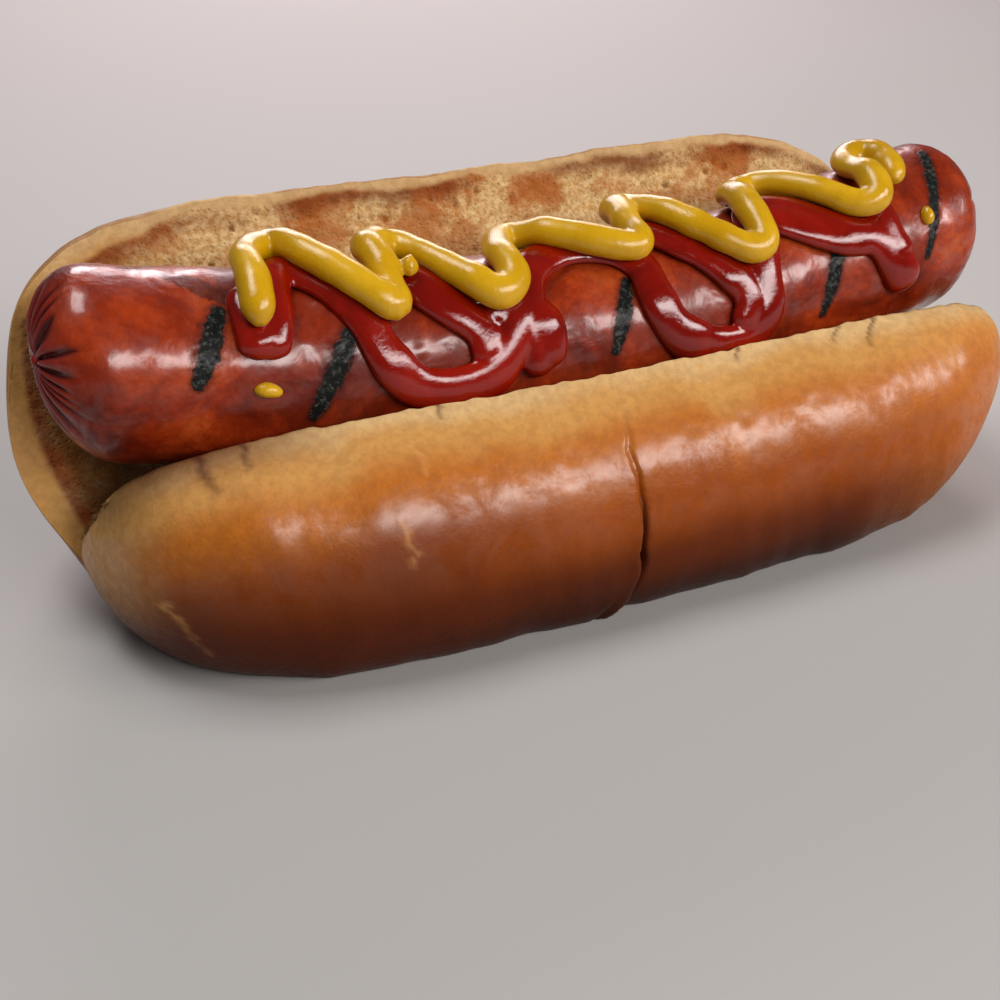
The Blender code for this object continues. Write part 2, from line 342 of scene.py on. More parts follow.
# %% The tear across the front half
TEAR_TURNS = np.array([112, 140, 160, 172, 185, 198, 206, 216, 228, 240])
TEAR_PLACE = np.array([-1.6, -2.4, -2.2, -2.0, -2.0, -1.9, -2.2, -3.4, -6.0, -9.5])
TEAR_DEPTH = np.array([0.2, 0.7, 0.9, 1.4, 3.0, 2.6, 1.2, 0.9, 0.6, 0.0])
TEAR_STEP = np.array([0.0, 0.2, 0.5, 0.8, 1.0, 1.0, 0.9, 1.3, 1.3, 0.0])


def tear_offset(x, u):
    """How far the crust stands out of the smooth loaf at the tear."""
    turn = 100 + 168 * np.clip(u / 0.46, 0, 1)
    middle = np.interp(turn, TEAR_TURNS, TEAR_PLACE) + 0.35 * wander(turn, 5, 30)
    depth = np.interp(turn, TEAR_TURNS, TEAR_DEPTH)
    step = np.interp(turn, TEAR_TURNS, TEAR_STEP)
    beside = x - middle
    groove = np.exp(-np.abs(beside / 0.5) ** 1.7)
    over = np.where(beside < 0, np.exp(beside / 9), -0.5 * np.exp(-beside / 6))
    return (step * over - depth * groove) * (u < 0.5)


print("tear:", TEAR_DEPTH.max(), "mm deep, with a step of", TEAR_STEP.max(), "mm")


# %% [markdown]
# ### Cracks, scars and dents
#
# A baked crust tears a little beside the lip, stretches into pale scars while the loaf still
# swells, and sinks where a hand or a neighbour pressed it. They could be painted on, but real
# relief catches the light. Each is a short line between two places, given as millimetres along
# the loaf and degrees round it, with a width in millimetres.

# %% Cracks, scars and dents
CRACKS = (
    ((47.5, 96), (44.0, 116), 0.42), ((40.5, 95), (38.3, 110), 0.4),
    ((-62.5, 96), (-61.0, 116), 0.7), ((-56.5, 96), (-56.0, 110), 0.5),
    ((-29.0, 96), (-28.0, 108), 0.4), ((21.0, 96), (20.5, 107), 0.4),
    ((-9.5, 236), (-6.0, 214), 0.6), ((-9.5, 236), (-15.0, 246), 0.6),
)
SCARS = (
    ((-38.6, 146), (-37.4, 166), 0.45), ((-45.0, 126), (-44.2, 140), 0.35),
    ((-34.0, 118), (-33.0, 132), 0.35), ((-69.5, 176), (-64.5, 212), 0.5),
    ((14.0, 104), (15.5, 122), 0.4), ((30.0, 104), (30.6, 118), 0.35),
    ((58.0, 120), (59.5, 138), 0.35),
)
DENTS = (
    ((-47.0, 108), (-44.0, 160), 1.9), ((-27.5, 104), (-24.0, 150), 1.5),
    ((-15.0, 104), (-13.0, 146), 1.3), ((5.0, 104), (8.5, 168), 1.8),
    ((15.0, 120), (17.0, 156), 1.3), ((27.0, 104), (30.0, 160), 1.8),
    ((44.0, 110), (45.0, 150), 1.6), ((57.0, 104), (61.0, 160), 2.0),
)
MM_PER_TURN = 0.31


def near_lines(x, u, lines):
    """1 on a line across the crust, 0 away from all of them."""
    turn = 100 + 168 * np.clip(u / 0.46, 0, 1)
    x = x + 0.6 * wander(turn, 71, 14)
    deepest = np.zeros_like(x)
    for (x0, d0), (x1, d1), width in lines:
        run = np.array([x1 - x0, (d1 - d0) * MM_PER_TURN])
        offset_x, offset_d = x - x0, (turn - d0) * MM_PER_TURN
        share = np.clip((offset_x * run[0] + offset_d * run[1]) / (run @ run), 0, 1)
        gap = np.hypot(offset_x - share * run[0], offset_d - share * run[1])
        deepest = np.maximum(deepest, np.exp(-((gap / width) ** 2)) * (1.1 - 0.6 * share))
    return deepest * (u < 0.5)


print(len(CRACKS), "cracks,", len(SCARS), "scars and", len(DENTS), "dents")


# %% [markdown]
# ### The loaf as one closed skin
#
# The crust runs from lip to rim and the cut face runs back again, as one surface. A cut through
# a whole loaf would leave knife-sharp edges; placing each point by its station and its outline
# place keeps the edges soft and lets the halves share their hinge.

# %% Bun: the two surfaces
def bun_surface(x, u, crust):
    """Points of the crust or the cut face at stations x and outline places u."""
    t = np.clip(np.abs(2 * x / BUN_LENGTH), 0, 1)
    full = (1 - t**BUN_FULLNESS) ** 0.5
    slid = 0.5 + (u - 0.5) * (ARM_AT_END + (1 - ARM_AT_END) * full)
    face = cut_outline(slid)
    edge_wobble = 0.30 * wander(x, 11, 17, 4) * np.exp(-u / 0.03)
    edge_wobble += 0.35 * wander(x, 12, 26, 4) * np.exp(-(1 - u) / 0.03)
    face = face + np.stack([0 * edge_wobble, edge_wobble * full], axis=-1)
    swell = np.where(u < 0.5, *END_BULGE) * np.sin(2 * np.pi * np.abs(u - 0.5))
    along = x + HALVES_SLIP * (0.5 - u) + swell * (2 * x / BUN_LENGTH) ** 5
    if crust:
        across = crust_outline(slid) - face
        length = np.maximum(np.linalg.norm(across, axis=-1), 0.001)
        closing = (1 - np.abs(2 * u - 1) ** 9) ** 0.5
        lumps = 0.35 * wander(x + 20 * u, 21, 40) + 0.2 * wander(x - 33 * u, 22, 23)
        cracks = 0.8 * near_lines(along, u, CRACKS) - 0.15 * near_lines(along, u, SCARS)
        cracks = cracks + 0.36 * near_lines(along, u, DENTS)
        depth = full * closing * (1 + (lumps + tear_offset(along, u) - cracks) / length)
        face = bowed(x, face + across * depth[..., None])
    else:
        face = bowed(x, face)
        y, z = sausage_axis(along)
        away = face - np.stack([y, z], axis=-1)
        length = np.linalg.norm(away, axis=-1)
        reach = sausage_radius(along) + 0.4
        pushed = np.stack([y, z], axis=-1) + away * (reach / np.maximum(length, 0.001))[..., None]
        face = np.where((length < reach)[..., None], pushed, face)
    face[..., 1] = pressed_flat(face[..., 1])
    return np.concatenate([along[..., None], face], axis=-1)


def stations(half, inner, dense, share=0.03):
    """Places from -half to half that crowd together at both ends and round the tear."""
    even = np.linspace(-half * (1 - share), half * (1 - share), 4000)
    crowd = 1 + 1.8 * np.exp(-(((even + 5.5) / 4.5) ** 2))
    run = np.cumsum(crowd)
    body = np.interp(np.linspace(run[0], run[-1], inner), run, even)
    ends = half * (1 - share * (1 - np.linspace(0, 1, dense + 1)[1:]) ** 2)
    return np.concatenate([-ends[::-1], body, ends])


print("stations along the bun:", len(stations(BUN_LENGTH / 2, 272, 14)))


# %% [markdown]
# ### What each point knows
#
# The colours need to know where a point lies: on crust or on crumb, how far from an edge, in
# the tear or on a scar. These numbers are stored with the points, so that no colour has to be
# painted by hand and all of it follows the shape.

# %% Bun: points and what is known of each
def bun_points(inner, steps):
    x = stations(BUN_LENGTH / 2, inner, 14)
    quarter = 0.5 * np.linspace(0, 1, steps + 1) ** 1.5
    u = np.concatenate([quarter, 1 - quarter[-2::-1]])
    grid_x, grid_u = np.meshgrid(x, u, indexing="ij")
    crust = bun_surface(grid_x, grid_u, True)
    cut = bun_surface(grid_x, grid_u, False)
    crust[:, [0, -1]] = cut[:, [0, -1]]
    crust[[0, -1]] = cut[[0, -1]]
    points = np.concatenate([crust, cut[:, -2:0:-1]], axis=1)
    known = {}
    is_cut = np.concatenate([np.zeros_like(grid_u), np.ones_like(grid_u[:, 1:-1])], axis=1)
    whole_u = np.concatenate([grid_u, grid_u[:, -2:0:-1]], axis=1)
    whole_x = np.concatenate([grid_x, grid_x[:, 1:-1]], axis=1)
    edge = edge_distance(crust, cut)
    curl = 1.4 + 0.5 * wander(whole_x, 61, 21) + 2.2 * smoothstep(-whole_x, 48, 66)
    rim = np.minimum(edge, 1.2 * (BUN_LENGTH / 2 - np.abs(whole_x)))
    open_crumb = smoothstep(rim, curl - 0.4, curl + 0.4)
    known["front"] = (whole_u < 0.5).astype(float)
    known["cut"] = is_cut * np.where(whole_u < 0.5, smoothstep(edge, 0.0, 0.8), open_crumb)
    known["edge"] = edge
    known["crumb_edge"] = is_cut * np.where(whole_u < 0.5, edge, rim - curl)
    along = points[..., 0]
    known["tear"] = painted_tear_shade(whole_x, whole_u) * (1 - is_cut)
    known["crack"] = near_lines(along, whole_u, CRACKS) * (1 - is_cut)
    known["scar"] = near_lines(along, whole_u, SCARS) * (1 - is_cut)
    return points, known


def edge_distance(crust, cut):
    """Millimetres from each point to the nearer of lip and rim, over the surface."""
    def from_both(surface):
        gaps = np.linalg.norm(np.diff(surface, axis=1), axis=-1)
        run = np.concatenate([np.zeros((len(surface), 1)), np.cumsum(gaps, axis=1)], axis=1)
        return np.minimum(run, run[:, -1:] - run)

    return np.concatenate([from_both(crust), from_both(cut)[:, -2:0:-1]], axis=1)


def painted_tear_shade(x, u):
    """1 inside the tear, where its painted shade goes."""
    along = x + HALVES_SLIP * (0.5 - u)
    turn = 100 + 168 * np.clip(u / 0.46, 0, 1)
    middle = np.interp(turn, TEAR_TURNS, TEAR_PLACE) + 0.35 * wander(turn, 5, 30)
    depth = np.interp(turn, TEAR_TURNS, TEAR_DEPTH)
    return np.exp(-(((along - middle) / 1.0) ** 2)) * smoothstep(depth, 0.5, 1.5) * (u < 0.5)


bun_mesh = grid_mesh("bun_bread", *bun_points(272, 80), close_ends=False)
print("bun:", len(bun_mesh.polygons), "faces before its texture")

# %% [markdown]
# ### Crust and crumb
#
# Bread is never smooth. A geometry tree moves every point along its normal: low lumps and fine
# wrinkles on the crust, and open pores of two sizes on the cut faces, which were torn and toasted.

# %% A tree for baked bread
def bread_tree():
    group = new_group("baked bread", "GeometryNodeTree", [
        ("Geometry", "INPUT", "NodeSocketGeometry", None),
        ("Crust Wrinkles", "INPUT", "NodeSocketFloat", 0.0001),
        ("Large Pores", "INPUT", "NodeSocketFloat", 0.0008),
        ("Small Pores", "INPUT", "NodeSocketFloat", 0.0004),
        ("Material", "INPUT", "NodeSocketMaterial", None),
        ("Geometry", "OUTPUT", "NodeSocketGeometry", None),
    ])
    given = node(group, "NodeGroupInput").outputs
    place_now = node(group, "GeometryNodeInputPosition").outputs[0]
    normal = node(group, "GeometryNodeInputNormal").outputs[0]

    def stored(name):
        made = node(group, "GeometryNodeInputNamedAttribute", {"Name": name}, data_type="FLOAT")
        return made.outputs["Attribute"]

    cut, edge = stored("cut"), stored("edge")
    warp = node(group, "ShaderNodeTexNoise", {"Vector": place_now, "Scale": 260.0})
    warp = warp.outputs["Color"]
    warped = node(group, "ShaderNodeVectorMath", {0: warp, 1: (0.0016,) * 3}, operation="MULTIPLY")
    warped = node(group, "ShaderNodeVectorMath", {0: place_now, 1: warped.outputs[0]})
    warped = warped.outputs[0]

    def pores(scale, least, most):
        """1 at the bottom of a pore. Only some cells have one."""
        made = cells(group, warped, scale)
        lucky = node(group, "FunctionNodeSeparateColor", {"Color": made.outputs["Color"]})
        lucky = lucky.outputs[0]
        hollow = span(group, made.outputs["Distance"], 0.15, 0.55, 1.0, 0.0)
        return maths(group, "MULTIPLY", hollow, span(group, lucky, least, most))

    large = maths(group, "MULTIPLY", pores(480.0, 0.55, 0.95), given["Large Pores"])
    small = maths(group, "MULTIPLY", pores(950.0, 0.3, 0.8), given["Small Pores"])
    inside = maths(group, "MULTIPLY", cut, span(group, edge, 0.3, 2.5))
    sunk = maths(group, "MULTIPLY", maths(group, "ADD", large, small), inside)
    roll = maths(group, "SUBTRACT", noise(group, place_now, 180.0, 4.0, 0.6), 0.5)
    lumps = maths(group, "MULTIPLY", roll, 0.0010)
    crumb = maths(group, "SUBTRACT", maths(group, "MULTIPLY", lumps, inside), sunk)
    fine = maths(group, "SUBTRACT", noise(group, place_now, 420.0, 3.0, 0.55), 0.5)
    wrinkles = maths(group, "MULTIPLY", fine, given["Crust Wrinkles"])
    crust = maths(group, "MULTIPLY", wrinkles, maths(group, "SUBTRACT", 1.0, cut))
    height = maths(group, "ADD", crumb, crust)
    z = node(group, "ShaderNodeSeparateXYZ", {"Vector": place_now}).outputs["Z"]
    height = maths(group, "MULTIPLY", height, span(group, z, 0.0002, 0.003))
    offset = node(group, "ShaderNodeVectorMath", {0: normal, "Scale": height}, operation="SCALE")
    moved = {"Geometry": given["Geometry"], "Offset": offset.outputs[0]}
    moved = node(group, "GeometryNodeSetPosition", moved).outputs[0]
    pore_depth = maths(group, "MULTIPLY", sunk, 1000.0)
    pore_value = {"Geometry": moved, "Name": "pore", "Value": pore_depth}
    moved = node(group, "GeometryNodeStoreNamedAttribute", pore_value, data_type="FLOAT",
                 domain="POINT").outputs[0]
    moved = node(group, "GeometryNodeRealizeInstances", {0: moved}).outputs[0]
    dressed = {"Geometry": moved, "Material": given["Material"]}
    dressed = node(group, "GeometryNodeSetMaterial", dressed).outputs[0]
    node(group, "NodeGroupOutput", {0: dressed})
    return group


BREAD_TREE = bread_tree()
print("baked bread:", len(BREAD_TREE.nodes), "nodes")


# %% [markdown]
# ## Shared effects
#
# Two effects come back in several materials, so each is a shader group. `mottle` breaks up a
# colour in clouds and specks. `grilled` turns a stored number, how deep a point lies in a grill
# mark, into a ragged charred mask.

# %% Shader groups
def mottle_group():
    group = new_group("mottle", "ShaderNodeTree", [
        ("Scale", "INPUT", "NodeSocketFloat", 100.0),
        ("Specks", "INPUT", "NodeSocketFloat", 900.0),
        ("Clouds", "OUTPUT", "NodeSocketFloat", None),
        ("Grain", "OUTPUT", "NodeSocketFloat", None),
    ])
    given = node(group, "NodeGroupInput").outputs
    where = node(group, "ShaderNodeTexCoord").outputs["Object"]
    clouds = span(group, noise(group, where, given["Scale"], 5.0, 0.6, 0.4), 0.3, 0.7)
    grain = span(group, noise(group, where, given["Specks"], 4.0, 0.65), 0.35, 0.65)
    node(group, "NodeGroupOutput", {"Clouds": clouds, "Grain": grain})
    return group


def grilled_group():
    group = new_group("grilled", "ShaderNodeTree", [
        ("Amount", "INPUT", "NodeSocketFloat", 0.0),
        ("Raggedness", "INPUT", "NodeSocketFloat", 0.5),
        ("Char", "OUTPUT", "NodeSocketFloat", None),
        ("Halo", "OUTPUT", "NodeSocketFloat", None),
    ])
    given = node(group, "NodeGroupInput").outputs
    where = node(group, "ShaderNodeTexCoord").outputs["Object"]
    rag = maths(group, "SUBTRACT", noise(group, where, 900.0, 5.0, 0.7, 0.6), 0.5)
    rag = maths(group, "MULTIPLY", rag, given["Raggedness"])
    rough = maths(group, "ADD", given["Amount"], maths(group, "MULTIPLY", rag, 2.0))
    char = span(group, rough, 0.42, 0.62)
    halo = span(group, rough, 0.02, 0.6)
    node(group, "NodeGroupOutput", {"Char": char, "Halo": halo})
    return group


MOTTLE, GRILLED = mottle_group(), grilled_group()
print("groups:", MOTTLE.name, "and", GRILLED.name)


# %% [markdown]
# ### Helpers for materials
#
# Every material starts from one shader with its plain values set, then reads stored numbers
# and shader groups.

# %% Helpers for materials
def use(tree, group, **inputs):
    """A shader group placed in a material."""
    made = node(tree, "ShaderNodeGroup", node_tree=group)
    for name, value in inputs.items():
        if isinstance(value, bpy.types.NodeSocket):
            tree.links.new(value, made.inputs[name])
        else:
            made.inputs[name].default_value = value
    return made.outputs


def attribute(tree, name):
    return node(tree, "ShaderNodeAttribute", attribute_name=name).outputs["Fac"]


def new_material(name, **constants):
    """A material with its Principled BSDF's plain values set, and its node tree."""
    made = bpy.data.materials.new(name)
    made.use_nodes = True
    shader = made.node_tree.nodes["Principled BSDF"]
    for socket, value in constants.items():
        shader.inputs[socket].default_value = value
    return made, made.node_tree, shader


def bump(tree, height, strength, distance):
    inputs = {"Height": height, "Strength": strength, "Distance": distance}
    return node(tree, "ShaderNodeBump", inputs).outputs["Normal"]


print("material helpers ready")

# %% [markdown]
# ## Bread colours
#
# Heat decides most of the colour of bread. The crust is pale gold beside the cut, where it was
# folded in the oven, turns to orange-brown on the flanks and dark brown underneath, partly where
# it lay on the hot tray and partly painted shade near the table. The crumb is cream, olive-brown
# down in its pores with painted shade, and toasted towards the rim. Painted shadow darkens the
# left end of the front lip, painted shade the crumb of the left end's groove and the tear, and
# painted light lifts the crust at the left tip.

# %% Bread material
def bread_material():
    made, tree, shader = new_material("bread", **{
        "Specular IOR Level": 0.14, "Coat Roughness": 0.25, "Subsurface Weight": 0.03,
        "Subsurface Scale": 0.001, "Subsurface Radius": (1.0, 0.5, 0.2),
    })
    edge, cut, front = (attribute(tree, name) for name in ("edge", "cut", "front"))
    where = node(tree, "ShaderNodeTexCoord").outputs["Object"]
    parts = node(tree, "ShaderNodeSeparateXYZ", {"Vector": where}).outputs
    x, z = parts["X"], parts["Z"]
    patches = use(tree, MOTTLE, Scale=55.0, Specks=700.0)
    clouds, grain = patches["Clouds"], patches["Grain"]
    shade = maths(tree, "MULTIPLY", maths(tree, "SUBTRACT", clouds, 0.5), 2.8)
    fresh_end = span(tree, x, 0.03, 0.09, 0.0, 2.0)
    depth = maths(tree, "SUBTRACT", maths(tree, "ADD", edge, shade), fresh_end)
    depth = maths(tree, "DIVIDE", depth, 50.0, clamp=True)
    # Darker with distance from the edge: baked colour, and on the low flank partly painted shade.
    crust = ramp(
        tree, depth,
        (0.0, srgb(204, 168, 116)), (0.10, srgb(194, 142, 76)), (0.24, srgb(176, 100, 28)),
        (0.42, srgb(144, 66, 2)), (0.62, srgb(98, 37, 0)), (0.88, srgb(44, 13, 0)),
    )
    # Painted shade: the crust darkens towards the table, partly also a darker baked bottom.
    low = span(tree, maths(tree, "ADD", z, maths(tree, "MULTIPLY", clouds, 0.005)), 0.019, 0.003)
    crust = mix(tree, maths(tree, "MULTIPLY", low, 0.85), crust, (*srgb(38, 10, 0), 1))
    # Painted shadow of the sausage on the front lip at the left end.
    painted_lip_shadow = maths(tree, "MULTIPLY", span(tree, x, -0.036, -0.060), span(tree, edge, 8.0, 0.0))
    painted_lip_shadow = maths(tree, "MULTIPLY", painted_lip_shadow, front)
    crust = mix(tree, maths(tree, "MULTIPLY", painted_lip_shadow, 0.85), crust, (*srgb(96, 50, 16), 1))
    orange = maths(tree, "MULTIPLY", span(tree, x, 0.035, 0.075), span(tree, edge, 1.0, 9.0))
    crust = mix(tree, maths(tree, "MULTIPLY", orange, 0.6), crust, (*srgb(190, 106, 32), 1))
    left = maths(tree, "MULTIPLY", span(tree, x, -0.005, -0.045), span(tree, depth, 0.2, 0.5))
    crust = mix(tree, maths(tree, "MULTIPLY", left, 0.62), crust, (*srgb(74, 24, 0), 1))
    # Painted light: the low crust at the left tip is made lighter to lift it out of its shade.
    tip = maths(tree, "MULTIPLY", span(tree, x, -0.066, -0.077), span(tree, z, 0.004, 0.016))
    crust = mix(tree, maths(tree, "MULTIPLY", tip, 0.85), crust, (*srgb(202, 152, 84), 1))
    crust = mix(tree, maths(tree, "MULTIPLY", grain, 0.2), crust, (*srgb(96, 38, 4), 1))

    pore = attribute(tree, "pore")
    inside = attribute(tree, "crumb_edge")
    holes = cells(tree, where, 1300.0)
    specks = span(tree, holes.outputs["Distance"], 0.1, 0.42, 1.0, 0.0)
    toast_clouds = use(tree, MOTTLE, Scale=75.0, Specks=1100.0)
    crumb = mix(tree, toast_clouds["Grain"], (*srgb(222, 190, 138), 1), (*srgb(190, 146, 88), 1))
    # Painted shade: the crumb darkens down in its pores and in small sunken specks.
    crumb = mix(tree, span(tree, pore, 0.1, 0.6), crumb, (*srgb(128, 88, 40), 1))
    crumb = mix(tree, maths(tree, "MULTIPLY", specks, 0.2), crumb, (*srgb(122, 88, 40), 1))
    near = span(tree, inside, 24.0, 1.0)
    toast = maths(tree, "MULTIPLY", near, span(tree, toast_clouds["Clouds"], 0.35, 0.95))
    crumb = mix(tree, maths(tree, "MULTIPLY", toast, 0.9), crumb, (*srgb(164, 88, 32), 1))
    seam_noise = noise(tree, where, 90.0, 5.0, 0.7)
    wavy = maths(tree, "MULTIPLY", maths(tree, "SUBTRACT", seam_noise, 0.5), 6.0)
    fray = maths(tree, "ADD", inside, wavy)
    line = maths(tree, "MULTIPLY", span(tree, fray, 3.8, 0.8), span(tree, inside, -0.8, 0.6))
    line = maths(tree, "MULTIPLY", line, span(tree, noise(tree, where, 34.0), 0.36, 0.56))
    bread = mix(tree, cut, crust, crumb)
    back = maths(tree, "SUBTRACT", 1.0, front)
    line = maths(tree, "MULTIPLY", line, back)
    bread = mix(tree, maths(tree, "MULTIPLY", line, 0.8), bread, (*srgb(112, 46, 16), 1))
    # Painted shade in the crumb of the groove at the left end.
    deep = maths(tree, "MULTIPLY", span(tree, x, -0.052, -0.07), span(tree, inside, 0.5, 3.5))
    bread = mix(tree, maths(tree, "MULTIPLY", deep, 0.8), bread, (*srgb(78, 44, 8), 1))
    # Painted shade in the open tear.
    tear = attribute(tree, "tear")
    bread = mix(tree, maths(tree, "MULTIPLY", tear, 0.85), bread, (*srgb(84, 34, 8), 1))
    bread = mix(tree, maths(tree, "MULTIPLY", attribute(tree, "crack"), 0.9), bread,
                (*srgb(70, 28, 8), 1))
    scar = maths(tree, "MULTIPLY", attribute(tree, "scar"), span(tree, seam_noise, 0.3, 0.6))
    bread = mix(tree, maths(tree, "MULTIPLY", scar, 0.6), bread, (*srgb(206, 150, 84), 1))
    tree.links.new(bread, shader.inputs["Base Color"])
    egg_wash = span(tree, noise(tree, where, 120.0, 5.0, 0.7, 0.5), 0.38, 0.6, 0.05, 0.75)
    flank = maths(tree, "MULTIPLY", span(tree, edge, 5.0, 10.0), span(tree, z, 0.011, 0.022))
    flank = maths(tree, "MULTIPLY", flank, maths(tree, "SUBTRACT", 1.0, cut))
    tree.links.new(maths(tree, "MULTIPLY", egg_wash, flank), shader.inputs["Coat Weight"])

    matt = span(tree, edge, 4.0, 12.0, 0.56, 0.30)
    satin = maths(tree, "ADD", matt, maths(tree, "MULTIPLY", grain, 0.14))
    dull = maths(tree, "MULTIPLY", cut, 0.5)
    rough = maths(tree, "ADD", satin, dull, clamp=True)
    tree.links.new(rough, shader.inputs["Roughness"])
    fine = noise(tree, where, 1500.0, 4.0, 0.65)
    soft_specks = maths(tree, "MULTIPLY", specks, 0.5)
    skin = maths(tree, "MULTIPLY", maths(tree, "SUBTRACT", 1.0, cut), fine)
    holes_down = maths(tree, "MULTIPLY", maths(tree, "SUBTRACT", fine, soft_specks), cut)
    relief = maths(tree, "ADD", maths(tree, "MULTIPLY", skin, 0.45), holes_down)
    tree.links.new(bump(tree, relief, 0.6, 0.0004), shader.inputs["Normal"])
    return made


BREAD = bread_material()
bun = shaped_by(place("bun_bread", bun_mesh), BREAD_TREE, {
    "Crust Wrinkles": 0.00014, "Large Pores": 0.0005, "Small Pores": 0.0003, "Material": BREAD,
})

# %% [markdown]
# ## The sausage
#
# Its skin is a casing: drawn tight along the body, gathered at each tip and tied to a small knot,
# so that folds run out from the knot like the neck of a bag. Two dozen uneven folds are pressed
# into the caps.

# %% Folds and grill marks
FOLDS = 24
GRILL_MARKS = (
    # start and end as (place along the sausage, degrees round it), then width in mm
    ((-55.0, 38), (-59.8, 80), 3.0),
    ((-37.8, 51), (-44.7, 100), 2.8),
    ((6.0, 42), (2.2, 82), 2.4),
    ((44.8, 50), (40.6, 95), 2.5),
    ((68.4, 10), (61.6, 82), 2.1),
)
SCORCHES = (((-60.0, 6), (-51.8, 34), 3.6), ((-20.0, -30), (-24.0, -70), 3.5))
TIP_LEAN = np.array([-4.6, 1.6])
print(FOLDS, "folds and", len(GRILL_MARKS), "grill marks")


# %% [markdown]
# ### From the body to the knot
#
# The body is a tube, each cap is a quarter turn with a dimple in its middle, and the knot
# stands in the dimple. Folds deepen towards the knot, where more skin has to fit in less room.

# %% Casing points
def cap_profile(count):
    """(along, out, share of the cap) from the body's end to the tip of the knot."""
    turn = np.radians(np.linspace(0, 86, count))
    body = SAUSAGE_LENGTH / 2 - CAP_LENGTH
    dimple = 0.9 * np.exp(-((SAUSAGE_RADIUS * np.cos(turn) / 2.6) ** 2))
    along = body + CAP_LENGTH * np.sin(turn) - dimple
    cap = np.stack([along, SAUSAGE_RADIUS * np.cos(turn)], axis=-1)
    knot_turn = np.radians(np.linspace(0, 80, 7)[1:])
    knot = np.stack([cap[-1, 0] + 0.9 * np.sin(knot_turn), cap[-1, 1] * np.cos(knot_turn)], -1)
    share = np.concatenate([turn / (np.pi / 2), np.full(len(knot), 1.0)])
    return np.concatenate([cap, knot]), share


def sausage_points(inner, cap_count, steps):
    cap, share = cap_profile(cap_count)
    body = np.linspace(-1, 1, inner) * (SAUSAGE_LENGTH / 2 - CAP_LENGTH)
    along = np.concatenate([-cap[::-1, 0], body[1:-1], cap[:, 0]])
    out = np.concatenate([cap[::-1, 1], np.full(inner - 2, SAUSAGE_RADIUS), cap[:, 1]])
    share = np.concatenate([share[::-1], np.zeros(inner - 2), share])
    turn = np.linspace(0, 2 * np.pi, steps, endpoint=False)
    grid_x, grid_turn = np.meshgrid(along, turn, indexing="ij")
    out, share = out[:, None], share[:, None]
    side = np.sign(grid_x)
    uneven = grid_turn + 0.10 * np.sin(3 * grid_turn + side) + 0.07 * np.sin(5 * grid_turn + 2)
    uneven = uneven + 0.05 * np.sin(9 * grid_turn + 3 * side) + 0.10 * (1 - share) * side
    ridge = np.abs(np.sin(FOLDS / 2 * uneven)) ** 0.8
    strength = 0.55 + 0.45 * np.sin(2 * grid_turn + 4 * side + 1)
    reach = smoothstep(share, 0.26 + 0.12 * np.sin(7 * grid_turn), 0.66) * (share < 0.995)
    groove = (1 - ridge) * reach * (0.6 + 0.5 * strength) * np.minimum(1, out / 3.0)
    lumps = 0.22 * wander(grid_x + 6 * np.sin(grid_turn), 31, 37) * (1 - share)
    lumps = lumps + 0.12 * wander(grid_x + 9 * np.cos(grid_turn + 1), 32, 15) * (1 - share)
    y, z = sausage_axis(grid_x)
    lean = np.where(grid_x < 0, share**1.6, 0)
    y, z = y + TIP_LEAN[0] * lean, z + TIP_LEAN[1] * lean
    slope = np.where(share > 0, share, 0)
    inwards = groove - lumps
    radial = out - inwards * np.cos(slope * np.pi / 2)
    axial = grid_x - side * inwards * np.sin(slope * np.pi / 2)
    points = np.stack([axial, y + radial * np.sin(grid_turn), z + radial * np.cos(grid_turn)], -1)
    degrees = np.degrees((-grid_turn + np.pi) % (2 * np.pi) - np.pi)
    known = {
        "fold": groove, "cap": share + 0 * grid_x,
        "char": grill_depth(grid_x, degrees, GRILL_MARKS),
        "scorch": grill_depth(grid_x, degrees, SCORCHES),
    }
    return points, known


def grill_depth(x, degrees, marks):
    """1 in the middle of a grill mark, 0 away from all of them."""
    around = np.pi * SAUSAGE_RADIUS / 180
    deepest = np.zeros_like(x)
    for (x0, d0), (x1, d1), width in marks:
        run = np.array([x1 - x0, (d1 - d0) * around])
        offset_x, offset_d = x - x0, (degrees - d0) * around
        share = np.clip((offset_x * run[0] + offset_d * run[1]) / (run @ run), 0, 1)
        gap = np.hypot(offset_x - share * run[0], offset_d - share * run[1])
        taper = 0.55 + 0.45 * np.sin(np.pi * np.clip(share * 0.9 + 0.08, 0, 1))
        deepest = np.maximum(deepest, np.clip(1 - gap / (width * taper), 0, 1))
    return deepest


sausage_mesh = grid_mesh("sausage_casing", *sausage_points(300, 56, 220), close_ends=True)
print("sausage:", len(sausage_mesh.polygons), "faces before its texture")


# %% [markdown]
# ### Skin on the grill
#
# Heat wrinkles the skin, raises blisters and leaves a rough crust of char in the grill marks.
# A picture of relief would look flat from the side, so a geometry tree moves the points.

